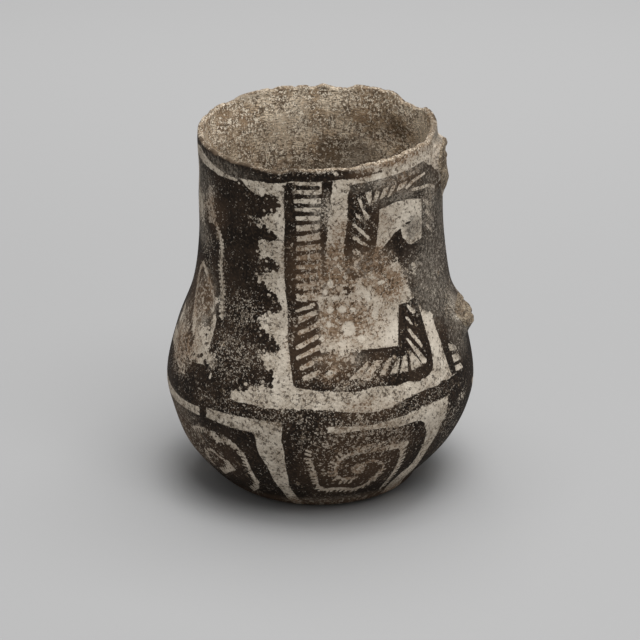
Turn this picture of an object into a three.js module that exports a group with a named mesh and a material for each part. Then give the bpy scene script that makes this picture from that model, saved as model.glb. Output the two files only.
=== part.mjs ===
// A hand-built earthenware pitcher, about 170 mm tall, made by coiling and scraping.
// A dished base carries ten wall coils, each pressed down over the inside of the one below, and
// a rim coil closes the mouth. A strap handle once ran from the neck to the belly. It has
// snapped off, and its two roots are left on the wall.
// Millimetres. +Z is up, the foot stands on z = 0, and the handle side faces +X.

import * as THREE from "three";

// Outer outline, from foot to lip: its radii and the heights where they lie. The swell below the
// belly is a little narrower than the belly itself.
const FOOT_RADIUS = 37;
const HEEL_RADIUS = 43.4;
const HEEL_HEIGHT = 1.3;
const UNDERSIDE_RADIUS = 50.2;
const UNDERSIDE_HEIGHT = 8;
const LOWER_BELLY_RADIUS = 62.5;
const LOWER_BELLY_HEIGHT = 23;
const SWELL_INSET = 1.5;
const SWELL_HEIGHT = 40.5;
const BELLY_RADIUS = 71.1;
const BELLY_HEIGHT = 54;
const SHOULDER_RADIUS = 66.4;
const SHOULDER_HEIGHT = 75.5;
const NECK_ROOT_RADIUS = 59.2;
const NECK_ROOT_HEIGHT = 95.7;
const NECK_RADIUS = 55.8;
const NECK_HEIGHT = 120;
const THROAT_RADIUS = 55;
const THROAT_HEIGHT = 147;
const LIP_RADIUS = 53.9;
const LIP_HEIGHT = 169;

// Thickness of the clay in the floor, the wall and the lip
const FLOOR_THICKNESS = 6.5;
const WALL_THICKNESS = 4.7;
const LIP_THICKNESS = 3;

// Build-up of the wall: the dished base, the coils above it, the rim coil, and how far the
// inside of each seam laps below its outside
const BASE_TOP_HEIGHT = 34;
const WALL_COILS = 10;
const RIM_COIL_HEIGHT = 14;
const SEAM_LAP = 3;

// The maker's hand: an axis that wanders sideways, a plan that isn't round, a lip that isn't level
const UNDERSIDE_LEAN = -1.6;
const SWELL_LEAN = 0.4;
const NECK_LEAN = 1.5;
const THROAT_LEAN = 0.9;
const MOUTH_LEAN = -0.8;
const OVAL = 0.5;
const OVAL_TURN = -17;
const THREE_SIDED = 0.4;
const THREE_SIDED_TURN = 17;
const LIP_RISE_BACK = 4.6;
const LIP_RISE_RIGHT = 1.7;

// Old chips in the lip: where they lie round the mouth, half their width in degrees, their depth
const CHIP_REACH = 8;
const CHIPS = [
  { at: 34, halfWidth: 14, depth: 3.1 },
  { at: 77, halfWidth: 9, depth: 1.9 },
  { at: 97, halfWidth: 12, depth: 0.7 },
  { at: 139, halfWidth: 8, depth: 0.7 },
  { at: 184, halfWidth: 9, depth: 1.3 },
  { at: 250, halfWidth: 8, depth: 1.5 },
  { at: 287, halfWidth: 6, depth: 0.8 },
  { at: 338, halfWidth: 9, depth: 1.3 },
];

// The broken strap handle: its side of the pot, and the footprint and snapped face of each root.
// The upper root starts just below the lip, and the lower one is placed by its middle.
const HANDLE_ANGLE = -6;
const ROOT_BED_GAP = 0.3;
const UPPER_ROOT = {
  belowLip: 3,
  width: 37,
  tall: 29,
  faceRise: 2,
  faceWidth: 25,
  faceTall: 20,
  standsOut: 2.4,
  slant: 0.42,
};
const LOWER_ROOT = {
  aboveBelly: 31,
  width: 42,
  tall: 27,
  faceRise: -2.5,
  faceWidth: 26,
  faceTall: 10,
  standsOut: 3,
  slant: -0.42,
};
const FLANK_HOLLOW = 1.8;
const FRACTURE_RELIEF = 0.5;

// Fineness of the facets
const STEPS_ROUND = 72;
const BASE_BANDS = 8;
const COIL_BANDS = 2;
const RIM_BANDS = 3;
const LIP_STEPS = 5;
const ROOT_STEPS_ROUND = 32;
const FLANK_RINGS = 4;
const FACE_RINGS = 3;
const BED_RINGS = 4;

const { lerp, smoothstep, degToRad, radToDeg, euclideanModulo } = THREE.MathUtils;

const clay = (color, roughness) => new THREE.MeshStandardMaterial({ color, roughness, metalness: 0 });
const slippedClay = clay(0x8e8372, 0.8);
const paintedClay = clay(0x5f574d, 0.75);
const brokenClay = clay(0x9d8763, 0.95);

// The outer outline as one smooth curve of radius and height
const outline = new THREE.SplineCurve([
  new THREE.Vector2(FOOT_RADIUS, 0),
  new THREE.Vector2(HEEL_RADIUS, HEEL_HEIGHT),
  new THREE.Vector2(UNDERSIDE_RADIUS, UNDERSIDE_HEIGHT),
  new THREE.Vector2(LOWER_BELLY_RADIUS, LOWER_BELLY_HEIGHT),
  new THREE.Vector2(BELLY_RADIUS - SWELL_INSET, SWELL_HEIGHT),
  new THREE.Vector2(BELLY_RADIUS, BELLY_HEIGHT),
  new THREE.Vector2(SHOULDER_RADIUS, SHOULDER_HEIGHT),
  new THREE.Vector2(NECK_ROOT_RADIUS, NECK_ROOT_HEIGHT),
  new THREE.Vector2(NECK_RADIUS, NECK_HEIGHT),
  new THREE.Vector2(THROAT_RADIUS, THROAT_HEIGHT),
  new THREE.Vector2(LIP_RADIUS, LIP_HEIGHT),
]);

// How far along the outline, from 0 at the foot to 1 at the lip, a height is reached
function alongAt(height) {
  let low = 0;
  let high = 1;
  while (high - low > 1e-9) {
    const middle = (low + high) / 2;
    if (outline.getPoint(middle).y < height) {
      low = middle;
    } else {
      high = middle;
    }
  }
  return low;
}

function outwardAt(along) {
  const tangent = outline.getTangent(along);
  return new THREE.Vector2(tangent.y, -tangent.x);
}

const baseEnds = alongAt(BASE_TOP_HEIGHT);
const rimStarts = alongAt(LIP_HEIGHT - RIM_COIL_HEIGHT);

function thicknessAt(along) {
  const wall = lerp(FLOOR_THICKNESS, WALL_THICKNESS, smoothstep(along, 0, baseEnds));
  return lerp(wall, LIP_THICKNESS, smoothstep(along, rimStarts, 1));
}

const outerPoint = (along) => outline.getPoint(along);
const innerPoint = (along) => outerPoint(along).addScaledVector(outwardAt(along), -thicknessAt(along));

// Points of a profile from one place along the outline to another
function run(pointAt, from, to, bands) {
  return Array.from({ length: bands + 1 }, (_, i) => pointAt(lerp(from, to, i / bands)));
}

// The rounded lip, between its outer arris and its inner one
function lipArc() {
  const outer = outerPoint(1);
  const spoke = outer.clone().sub(innerPoint(1)).multiplyScalar(0.5);
  const centre = outer.clone().sub(spoke);
  const turned = Array.from({ length: LIP_STEPS - 1 }, (_, i) => (Math.PI * (i + 1)) / LIP_STEPS);
  return turned.map((angle) => spoke.clone().rotateAround(new THREE.Vector2(), angle).add(centre));
}

// How deep the chips cut into the lip at an angle in degrees
function chipDepth(degrees) {
  const bites = CHIPS.map((chip) => {
    const away = Math.abs(euclideanModulo(degrees - chip.at + 180, 360) - 180);
    return chip.depth * (1 - smoothstep(away / chip.halfWidth, 0.3, 1));
  });
  return Math.max(...bites);
}

// Heights at which the centre of the wall has wandered sideways, and how far
const wander = [
  { height: 0, lean: 0 },
  { height: UNDERSIDE_HEIGHT, lean: UNDERSIDE_LEAN },
  { height: SWELL_HEIGHT, lean: SWELL_LEAN },
  { height: NECK_ROOT_HEIGHT, lean: NECK_LEAN },
  { height: THROAT_HEIGHT, lean: THROAT_LEAN },
  { height: LIP_HEIGHT, lean: MOUTH_LEAN },
];

function leanAt(height) {
  let lean = 0;
  for (let i = 1; i < wander.length; i++) {
    lean = lerp(lean, wander[i].lean, smoothstep(height, wander[i - 1].height, wander[i].height));
  }
  return lean;
}

// Moves a point of the ideal turned form to where hand building and chipping left it
function handBuilt(point) {
  const angle = Math.atan2(point.y, point.x);
  const height = point.z;
  const oval = OVAL * Math.cos(2 * (angle - degToRad(OVAL_TURN)));
  const threeSided = THREE_SIDED * Math.cos(3 * (angle - degToRad(THREE_SIDED_TURN)));
  const stretch = 1 + ((oval + threeSided) / BELLY_RADIUS) * smoothstep(height, 0, HEEL_HEIGHT);
  const rise = LIP_RISE_BACK * Math.sin(angle) + LIP_RISE_RIGHT * Math.cos(angle);
  const lift = rise * smoothstep(height, NECK_ROOT_HEIGHT, LIP_HEIGHT);
  const bite = chipDepth(radToDeg(angle)) * smoothstep(height, LIP_HEIGHT - CHIP_REACH, LIP_HEIGHT);
  return new THREE.Vector3(point.x * stretch + leanAt(height), point.y * stretch, height + lift - bite);
}

function clayPiece(name, points, faces, material) {
  const geometry = new THREE.BufferGeometry().setFromPoints(points.map(handBuilt));
  geometry.setIndex(faces);
  geometry.computeVertexNormals();
  const mesh = new THREE.Mesh(geometry, material);
  mesh.name = name;
  return mesh;
}

// A profile that runs counter-clockwise in radius and height, turned about the Z axis. It ends on
// the axis or closes on itself. Each facet is cut from its wider edge, whichever way the profile
// runs, so that two pieces share the facets of their seam.
function turnedPiece(name, profile, material) {
  const size = profile.length;
  const bands = profile[0].x === 0 ? size - 1 : size;
  const points = [];
  for (let step = 0; step < STEPS_ROUND; step++) {
    const angle = (2 * Math.PI * step) / STEPS_ROUND;
    points.push(...profile.map((p) => new THREE.Vector3(p.x * Math.cos(angle), p.x * Math.sin(angle), p.y)));
  }
  const corner = (step, i) => (profile[i].x === 0 ? i : (step % STEPS_ROUND) * size + i);
  const faces = [];
  for (let step = 0; step < STEPS_ROUND; step++) {
    for (let i = 0; i < bands; i++) {
      const next = (i + 1) % size;
      const a = corner(step, i);
      const b = corner(step + 1, i);
      const c = corner(step + 1, next);
      const d = corner(step, next);
      const halves = profile[i].x >= profile[next].x ? [[a, b, c], [a, c, d]] : [[a, b, d], [b, c, d]];
      faces.push(...halves.filter((face) => new Set(face).size === 3).flat());
    }
  }
  return clayPiece(name, points, faces, material);
}

// Where a seam between two pieces of wall meets the outside and, lapped lower, the inside
const seamAt = (height) => ({ outer: alongAt(height), inner: alongAt(height - SEAM_LAP) });

function baseBowl(top) {
  const profile = [
    new THREE.Vector2(0, 0),
    ...run(outerPoint, 0, top.outer, BASE_BANDS),
    ...run(innerPoint, top.inner, 0, BASE_BANDS),
    new THREE.Vector2(0, FLOOR_THICKNESS),
  ];
  return turnedPiece("base_bowl", profile, slippedClay);
}

function wallCoil(name, bottom, top) {
  const profile = [
    ...run(outerPoint, bottom.outer, top.outer, COIL_BANDS),
    ...run(innerPoint, top.inner, bottom.inner, COIL_BANDS),
  ];
  return turnedPiece(name, profile, paintedClay);
}

function rimCoil(bottom) {
  const profile = [
    ...run(outerPoint, bottom.outer, 1, RIM_BANDS),
    ...lipArc(),
    ...run(innerPoint, 1, bottom.inner, RIM_BANDS),
  ];
  return turnedPiece("rim_coil", profile, slippedClay);
}

// A point that stands out from the wall, some way round from the middle of the handle
function onWall(across, height, out) {
  const along = alongAt(height);
  const place = outerPoint(along).addScaledVector(outwardAt(along), ROOT_BED_GAP + out);
  const angle = degToRad(HANDLE_ANGLE) + across / place.x;
  return new THREE.Vector3(place.x * Math.cos(angle), place.x * Math.sin(angle), place.y);
}

// A root of the handle: an oval bed on the wall, a hollow flank that rises from its edge to the
// smaller oval where the strap snapped, and the rough face of the break
function handleRoot(name, root, rootHeight) {
  const points = [];
  const faces = [];
  const place = (flank, inward, turn, out) => {
    const width = lerp(root.width, root.faceWidth, flank) * inward;
    const tall = lerp(root.tall, root.faceTall, flank) * inward;
    const height = rootHeight + root.faceRise * flank + (tall / 2) * Math.sin(turn);
    points.push(onWall((width / 2) * Math.cos(turn), height, out));
    return points.length - 1;
  };
  const ring = (flank, inward, outAt) =>
    Array.from({ length: ROOT_STEPS_ROUND }, (_, i) => {
      const turn = (2 * Math.PI * i) / ROOT_STEPS_ROUND;
      return place(flank, inward, turn, outAt(turn));
    });
  const joinRings = (wide, narrow) =>
    wide.forEach((a, i) => {
      const next = (i + 1) % ROOT_STEPS_ROUND;
      faces.push(a, wide[next], narrow[next], a, narrow[next], narrow[i]);
    });
  const fillRing = (rim, middle) =>
    rim.forEach((a, i) => faces.push(a, rim[(i + 1) % ROOT_STEPS_ROUND], middle));

  const faceOut = (inward) => (turn) => {
    const relief = FRACTURE_RELIEF * Math.sin(5 * turn + 4 * inward) * inward;
    return root.standsOut * (1 + root.slant * inward * Math.sin(turn)) + relief;
  };
  const edge = ring(0, 1, () => 0);
  const front = [edge];
  for (let i = 1; i <= FLANK_RINGS; i++) {
    const flank = i / FLANK_RINGS;
    front.push(ring(flank, 1, (turn) => faceOut(1)(turn) * Math.pow(flank, FLANK_HOLLOW)));
  }
  for (let i = 1; i < FACE_RINGS; i++) {
    const inward = 1 - i / FACE_RINGS;
    front.push(ring(1, inward, faceOut(inward)));
  }
  const back = [edge];
  for (let i = 1; i < BED_RINGS; i++) {
    back.push(ring(0, 1 - i / BED_RINGS, () => 0));
  }
  const backward = back.map((turned) => [...turned].reverse());
  for (const side of [front, backward]) {
    side.slice(1).forEach((narrow, i) => joinRings(side[i], narrow));
  }
  fillRing(front.at(-1), place(1, 0, 0, root.standsOut));
  fillRing(backward.at(-1), place(0, 0, 0, 0));
  return clayPiece(name, points, faces, brokenClay);
}

const pitcher = new THREE.Group();
pitcher.name = "pitcher";

const topSeam = LIP_HEIGHT - RIM_COIL_HEIGHT;
const seams = Array.from({ length: WALL_COILS + 1 }, (_, i) =>
  seamAt(lerp(BASE_TOP_HEIGHT, topSeam, i / WALL_COILS)),
);
pitcher.add(baseBowl(seams[0]));
for (let i = 0; i < WALL_COILS; i++) {
  pitcher.add(wallCoil(`wall_coil_${String(i + 1).padStart(2, "0")}`, seams[i], seams[i + 1]));
}
pitcher.add(rimCoil(seams.at(-1)));

const upperRootHeight = LIP_HEIGHT - UPPER_ROOT.belowLip - UPPER_ROOT.tall / 2;
pitcher.add(handleRoot("handle_root_upper", UPPER_ROOT, upperRootHeight));
pitcher.add(handleRoot("handle_root_lower", LOWER_ROOT, BELLY_HEIGHT + LOWER_ROOT.aboveBelly));

export default pitcher;
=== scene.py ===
# A hand-built pitcher, coiled and scraped, with a pale slip and dark painted figures. Its strap
# handle is lost. Sizes are in millimetres and become metres when a mesh is made. Figures on the
# wall are drawn flat, as degrees round the pot (0 at the handle side, -90 facing the camera) and
# millimetres up. +Z is up and the foot stands on z = 0.
import math

import bmesh
import bpy
import numpy as np
from mathutils import Matrix


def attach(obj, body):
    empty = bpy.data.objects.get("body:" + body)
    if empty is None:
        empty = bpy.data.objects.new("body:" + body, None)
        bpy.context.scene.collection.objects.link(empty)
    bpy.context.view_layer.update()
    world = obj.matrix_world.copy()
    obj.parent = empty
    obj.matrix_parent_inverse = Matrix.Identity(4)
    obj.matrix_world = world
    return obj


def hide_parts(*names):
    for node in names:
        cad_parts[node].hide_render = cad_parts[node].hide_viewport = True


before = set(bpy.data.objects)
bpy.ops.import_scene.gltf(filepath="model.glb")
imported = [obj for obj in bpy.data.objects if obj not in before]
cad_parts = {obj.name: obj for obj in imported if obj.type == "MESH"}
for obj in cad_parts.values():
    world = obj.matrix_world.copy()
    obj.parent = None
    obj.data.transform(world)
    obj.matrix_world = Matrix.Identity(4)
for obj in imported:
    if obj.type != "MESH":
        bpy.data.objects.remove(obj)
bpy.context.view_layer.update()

METRE = 0.001

# Shape of the wall, as in the part's source
OUTLINE = [
    (37, 0), (43.4, 1.3), (50.2, 8), (62.5, 23), (69.6, 40.5), (71.1, 54), (66.4, 75.5), (59.2, 95.7),
    (55.8, 120), (55, 147), (53.9, 169),
]
HEEL_HEIGHT = 1.3
BELLY_RADIUS = 71.1
BELLY_HEIGHT = 54
NECK_ROOT_HEIGHT = 95.7
LIP_HEIGHT = 169
FLOOR_THICKNESS = 6.5
WALL_THICKNESS = 4.7
LIP_THICKNESS = 3
BASE_TOP_HEIGHT = 34
WALL_COILS = 10
RIM_COIL_HEIGHT = 14
SEAM_LAP = 3
WANDER = [(0, 0), (8, -1.6), (40.5, 0.4), (95.7, 1.5), (147, 0.9), (169, -0.8)]
OVAL = (0.5, -17)
THREE_SIDED = (0.4, 17)
LIP_RISE_BACK = 4.6
LIP_RISE_RIGHT = 1.7
CHIP_REACH = 8
CHIPS = [
    (34, 14, 3.1), (77, 9, 1.9), (97, 12, 0.7), (139, 8, 0.7), (184, 9, 1.3), (250, 8, 1.5), (287, 6, 0.8),
    (338, 9, 1.3),
]
HANDLE_ANGLE = -6
UPPER_ROOT = dict(height=151.5, width=37, tall=29, face_rise=2, face_width=25, face_tall=20,
                  stands_out=2.4, slant=0.42)
LOWER_ROOT = dict(height=85, width=42, tall=27, face_rise=-2.5, face_width=26, face_tall=10,
                  stands_out=3, slant=-0.42)
FLANK_HOLLOW = 1.8

# Fineness of the meshes
STEPS_ROUND = 840
OUTER_ROW = 0.48
BASE_ROW = 0.72
INNER_ROW = 1.1
PROFILE_SAMPLES = 40001
TRACK_SAMPLES = 200
LIP_STEPS = 14
ROOT_STEPS_ROUND = 184
UNDER_STEPS, FLOOR_STEPS = 11, 13
BED_STEPS, FLANK_STEPS, FACE_STEPS = 17, 25, 35
WELD = 1e-3


def smoothstep(value, low, high):
    t = np.clip((value - low) / (high - low), 0, 1)
    return t * t * (3 - 2 * t)


def lerp(a, b, share):
    return a + (b - a) * share


stations = np.array(OUTLINE, float)


def outline_at(along):
    """Radius and height of the outer wall, from 0 at the foot to 1 at the lip."""
    last = len(stations) - 1
    position = np.clip(np.asarray(along, float) * last, 0, last)
    i = np.minimum(position.astype(int), last - 1)
    t = (position - i)[..., None]
    before, start = stations[np.maximum(i - 1, 0)], stations[i]
    end, after = stations[i + 1], stations[np.minimum(i + 2, last)]
    leave, arrive = (end - before) / 2, (after - start) / 2
    cubic = 2 * start - 2 * end + leave + arrive
    square = -3 * start + 3 * end - 2 * leave - arrive
    return cubic * t**3 + square * t**2 + leave * t + start


fine_along = np.linspace(0, 1, PROFILE_SAMPLES)
fine_height = outline_at(fine_along)[:, 1]


def along_at(height):
    return np.interp(height, fine_height, fine_along)


def outward_at(along):
    step = 1e-4
    tangent = outline_at(np.minimum(along + step, 1)) - outline_at(np.maximum(along - step, 0))
    tangent /= np.linalg.norm(tangent, axis=-1, keepdims=True)
    return np.stack([tangent[..., 1], -tangent[..., 0]], -1)


base_ends = along_at(BASE_TOP_HEIGHT)
rim_starts = along_at(LIP_HEIGHT - RIM_COIL_HEIGHT)


def inner_at(along):
    wall = lerp(FLOOR_THICKNESS, WALL_THICKNESS, smoothstep(along, 0, base_ends))
    thickness = lerp(wall, LIP_THICKNESS, smoothstep(along, rim_starts, 1))
    return outline_at(along) - outward_at(along) * thickness[..., None]


# The maker's hand: the scraper's dents all over, and small nicks in the lip
dice = np.random.default_rng(7)
MM_PER_DEGREE = 1.05
DENT_SPAN = 2.6
DENTS_FULL_HEIGHT = 12
DENTS_RADII = (20, 45)
CHIP_FLAT = 0.3
NICK_FLAT = 0.2
NICK_HEIGHTS = (LIP_HEIGHT - 1.2, LIP_HEIGHT + 1.4)


def cast(*ranges):
    """One number out of each range, low and high."""
    return tuple(dice.uniform(low, high) for low, high in ranges)


DENTS = [cast((-180, 180), (4, 170), (6, 15), (-0.24, 0.24)) for _ in range(170)]
NICKS = [cast((-180, 180), (1.6, 5), (0.15, 0.7)) for _ in range(46)]
NICKS += [cast((-180, 180), (0.5, 1.2), (0.08, 0.3)) for _ in range(90)]


def away_from(degrees, other):
    return np.abs((degrees - other + 180) % 360 - 180)


def dent_at(degrees, height):
    depth = np.zeros_like(height)
    for at, level, reach, amount in DENTS:
        near = np.abs(height - level) < DENT_SPAN * reach
        across = away_from(degrees[near], at) * MM_PER_DEGREE
        depth[near] += amount * np.exp(-(across**2 + (height[near] - level) ** 2) / reach**2)
    return depth


def hand_built(points):
    """Moves points of the ideal turned form to where hand building and chipping left them."""
    radius = np.hypot(points[:, 0], points[:, 1])
    angle = np.arctan2(points[:, 1], points[:, 0])
    degrees = np.degrees(angle)
    height = points[:, 2]
    oval = OVAL[0] * np.cos(2 * (angle - math.radians(OVAL[1])))
    three_sided = THREE_SIDED[0] * np.cos(3 * (angle - math.radians(THREE_SIDED[1])))
    stretch = 1 + (oval + three_sided) / BELLY_RADIUS * smoothstep(height, 0, HEEL_HEIGHT)
    dented = smoothstep(height, 0, DENTS_FULL_HEIGHT)
    grown = radius * stretch + dent_at(degrees, height) * dented * smoothstep(radius, *DENTS_RADII)
    rise = LIP_RISE_BACK * np.sin(angle) + LIP_RISE_RIGHT * np.cos(angle)
    lift = rise * smoothstep(height, NECK_ROOT_HEIGHT, LIP_HEIGHT)
    bite = np.zeros_like(height)
    for at, half_width, depth in CHIPS:
        edge = smoothstep(away_from(degrees, at) / half_width, CHIP_FLAT, 1)
        bite = np.maximum(bite, depth * (1 - edge))
    bite = bite * smoothstep(height, LIP_HEIGHT - CHIP_REACH, LIP_HEIGHT)
    crest = smoothstep(height, *NICK_HEIGHTS)
    for at, half_width, depth in NICKS:
        bite = bite + depth * (1 - smoothstep(away_from(degrees, at) / half_width, NICK_FLAT, 1)) * crest
    lean = np.zeros_like(height)
    for (low, _), (high, shift) in zip(WANDER, WANDER[1:]):
        lean = lerp(lean, shift, smoothstep(height, low, high))
    return np.stack([grown * np.cos(angle) + lean, grown * np.sin(angle), height + lift - bite], -1)


# Painted figures: each is paint or bare slip, laid over those before it
DARK, BARE = 1, -1
LEFT, RIGHT = (1,), (-1,)
TICK_SKEW = 0.35
FIGURE_SLIDE = 1.4
SLIDE_HEIGHT = 147
FAR = 3.0
BARE_SPREAD = 0.22
figures = []


def fill(sign, points):
    """A closed figure of paint, or of slip left bare in the paint."""
    figures.append((sign, "fill", points, 0))


def stroke(sign, points, width):
    """A brush line, with its width in millimetres."""
    figures.append((sign, "stroke", points, width / 2))


def dot(sign, at, radius):
    figures.append((sign, "stroke", [at, at], radius))


def walk(points, pitch):
    """Places and directions every so many millimetres along a line."""
    places = []
    spare = pitch / 2
    for (a0, z0), (a1, z1) in zip(points, points[1:]):
        across, up = (a1 - a0) * MM_PER_DEGREE, z1 - z0
        length = math.hypot(across, up)
        while spare < length:
            share = spare / length
            place = lerp(a0, a1, share), lerp(z0, z1, share)
            places.append((place, (across / length, up / length)))
            spare += pitch
        spare -= length
    return places


def serrate(points, pitch, reach, width, sides=LEFT + RIGHT):
    """Small slanting ticks of bare slip that stand on a line."""
    for (a, z), (across, up) in walk(points, pitch):
        for side in sides:
            out, along = -up * side - across * TICK_SKEW, across * side - up * TICK_SKEW
            stroke(BARE, [(a, z), (a + out * reach / MM_PER_DEGREE, z + along * reach)], width)


def beads(sign, points, pitch, radius, scatter):
    """Dabs of the brush set loosely along a line."""
    for (a, z), _ in walk(points, pitch):
        place = (a + dice.uniform(-scatter, scatter), z + dice.uniform(-scatter, scatter))
        dot(sign, place, radius * dice.uniform(0.6, 1.25))


# Rim band
fill(DARK, [
    (-181, 165.8), (-163, 167), (-160, 166.5), (-155, 165.3), (-150, 164.5), (-145, 163.5), (-140, 162.8),
    (-135, 162.3), (-130, 162), (-120, 162.8), (-115, 163.3), (-110, 163.8), (-105, 164.4), (-100, 165),
    (-90, 165), (-80, 165.2), (-70, 165.5), (-60, 165.3), (-50, 165.5), (-30, 165.5), (1, 165.8), (1, 180),
    (-181, 180),
])

fill(BARE, [(-80, 180), (-79, 172), (-72, 170.5), (-65, 167.5), (-57, 165), (-30, 165), (1, 165), (1, 180)])
beads(BARE, [(-88, 169.6), (-82, 169), (-77, 168)], 1.5, 0.6, 0.8)
beads(DARK, [(-78, 167.4), (-72, 166.6), (-64, 166.2), (-56, 166)], 1.5, 0.75, 0.9)

# Toothed mass
teeth = [
    (-130, 161.6), (-124.5, 160), (-122, 160), (-120, 158), (-117, 156.5), (-114.5, 157), (-110.5, 156.5),
    (-108.6, 155), (-108.8, 153), (-110.8, 151.5), (-112, 150), (-115.5, 148), (-117.5, 146.5),
    (-120.5, 145.5), (-119, 140.5), (-114.5, 139.8), (-111.3, 138), (-111, 136), (-113, 134.8), (-116, 135.5),
    (-119, 134), (-120.5, 130.5), (-119.5, 126), (-114, 125), (-110, 122.5), (-110, 120.8), (-114.5, 119.5),
    (-119, 117.5), (-122, 115.5), (-117, 112.5), (-112, 108.2), (-110.5, 107.3), (-108.8, 102.5),
    (-110, 100.7), (-114.5, 99.5), (-118, 97), (-119.5, 95.8), (-116, 92.5), (-114.5, 89.5), (-110.5, 89),
    (-107.8, 85.3), (-108, 84), (-112, 83.5), (-117, 81.5), (-113.5, 79), (-111.5, 75), (-109.5, 74.5),
    (-108.8, 72), (-109.8, 70), (-109, 69), (-112, 69.2), (-115.5, 68.2), (-119, 66.5), (-122, 65.2),
    (-125, 64.5),
]
fill(DARK, [
    (-150, 161), (-143, 160.8), (-135, 161), *teeth, (-125, 58), (-152, 57), (-152, 100), (-150, 130),
])
beads(DARK, teeth, 2.1, 1, 0.6)
beads(BARE, teeth, 4.1, 0.55, 1.5)
for at in [
    (-113, 156.8), (-110, 155.5), (-109, 153.2), (-111.5, 150.5), (-116.8, 141.8), (-113, 139), (-111.2, 137),
    (-115, 125.5), (-110.3, 121.7), (-111.3, 107.8), (-109, 103), (-110.5, 88.5), (-108, 85), (-109.3, 74),
    (-108.9, 72), (-109.2, 69.3),
]:
    dot(DARK, at, 1.05)

# Bare lines under the rim band
fill(BARE, [
    (-163, 167), (-155, 165.3), (-145, 163.5), (-135, 162.3), (-130, 162), (-130.5, 161.1), (-135, 161),
    (-143, 160.8), (-150, 160.8), (-160, 161.8), (-163, 163.5),
])
fill(BARE, [(-127.5, 162.8), (-120, 163), (-114, 163.3), (-117, 156.5), (-121.5, 158), (-124.5, 160)])

# Left of the mass
wavy = [
    (-148, 135), (-145.5, 130.5), (-144, 128.5), (-143.5, 125), (-143, 122), (-144, 117.5), (-143.2, 113),
    (-142, 109), (-141, 105.5), (-140, 101), (-140, 97.5), (-139, 94), (-138, 92),
]
fill(DARK, [(-181, 161.5), (-145, 161), (-144, 133), (-143, 110), (-141, 92), (-148, 57.5), (-181, 60)])
fill(BARE, [
    (-170, 147), (-160, 144), (-154, 152), (-151, 147), (-150, 143), (-149, 136), (-154, 134), (-160, 137),
    (-162, 131), (-172, 129), (-176, 136),
])
fill(BARE, [
    (-161, 112), (-155, 109), (-151, 105), (-148, 101), (-145, 95), (-141.5, 90), (-140.5, 82), (-140, 76),
    (-144, 75.5), (-150, 77.5), (-155, 81), (-160.5, 87), (-164.5, 93.5), (-167, 101), (-165, 108),
])
fill(DARK, [
    (-160.5, 109.3), (-155.5, 106.8), (-152, 103), (-148, 98), (-145.5, 93), (-144, 87), (-149, 85),
    (-155, 87), (-160, 90), (-163, 95), (-165, 101), (-163.5, 106.5),
])
fill(BARE, [
    (-178, 86), (-173, 84), (-169, 77), (-163, 72), (-157, 74), (-150, 73.3), (-143, 72.6), (-135.5, 73.6),
    (-135, 70), (-142, 70.5), (-147, 69.5), (-152, 69), (-158, 71), (-165, 74), (-173, 78),
])
stroke(BARE, [(-136.5, 76), (-136, 71), (-136.5, 66)], 0.7)
fill(BARE, [(-152, 78), (-144, 76.5), (-137, 76.6), (-136.5, 71.5), (-143, 70.5), (-152, 72)])
fill(BARE, [
    (-178, 74), (-170, 74), (-163, 69.5), (-155, 64.5), (-152, 61.5), (-156, 61.5), (-163, 64.5), (-170, 67),
    (-178, 68),
])
beads(DARK, [(-170, 76), (-163, 73), (-157, 71), (-150, 72), (-143, 73)], 2.2, 1, 1.9)
stroke(BARE, wavy, 1.1)
serrate(wavy, 1.9, 1.5, 0.7)
for blotch in [
    [(-142, 71.5), (-138, 71.2)], [(-140, 70), (-136, 69.6)], [(-154, 73.5), (-150, 72)],
    [(-163, 79), (-157, 78)], [(-170, 70), (-166, 67)], [(-160, 64), (-155, 62)], [(-146, 69), (-150, 67)],
]:
    beads(DARK, blotch, 1.5, 1.1, 0.6)
beads(DARK, [(-176, 80), (-166, 77), (-158, 72), (-150, 68), (-140, 66)], 2.4, 1, 1.8)
beads(DARK, [(-175, 73), (-165, 69), (-156, 66)], 2.4, 1, 1.8)
beads(DARK, [(-146, 90), (-145, 84), (-142, 79)], 2.6, 0.6, 1.6)

# Ladder
fill(DARK, [
    (-103.3, 164.4), (-104.8, 161), (-105.8, 157), (-106.6, 152.5), (-106.9, 148.5), (-106.5, 144),
    (-106.9, 135), (-107, 125), (-106.75, 115), (-106.1, 110), (-105.5, 105), (-105, 99), (-104.6, 94),
    (-104.25, 89.5), (-103.25, 85.5), (-102, 79.5), (-101, 75), (-100.4, 70.5), (-97, 72.5), (-97.5, 77),
    (-98.75, 81), (-100, 84), (-100.75, 90), (-101.1, 94), (-101.1, 101.5), (-101.25, 109), (-101.6, 115),
    (-101.4, 125), (-101, 135), (-100.75, 139), (-101.4, 146), (-101.5, 150), (-101.25, 156.5), (-101.1, 161),
    (-100, 164.5),
])
fill(DARK, [
    (-86.4, 164.9), (-87.5, 160), (-88.5, 157), (-89.25, 152.5), (-89.75, 148.5), (-90, 144), (-90.25, 135),
    (-90, 118), (-87.8, 118), (-87.5, 135), (-87, 139), (-85, 147.5), (-84.75, 151.5), (-84.25, 156.5),
    (-82.5, 160.5), (-81.3, 164.9),
])
RUNGS = [
    (162.3, 162.2), (158.2, 158.2), (153.8, 154), (149.8, 150), (145.2, 146), (139.5, 142), (134.5, 136.5),
    (129.7, 131.5), (125, 126.5), (120.2, 122), (115.5, 117.5), (110.5, 113),
]
for left_end, right_end in RUNGS:
    stroke(DARK, [(-104, left_end), (-95, lerp(left_end, right_end, 0.45)), (-88.5, right_end)], 1.9)
    stroke(DARK, [(-103, left_end - 0.1), (-98, lerp(left_end, right_end, 0.25))], 2.5)

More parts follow.
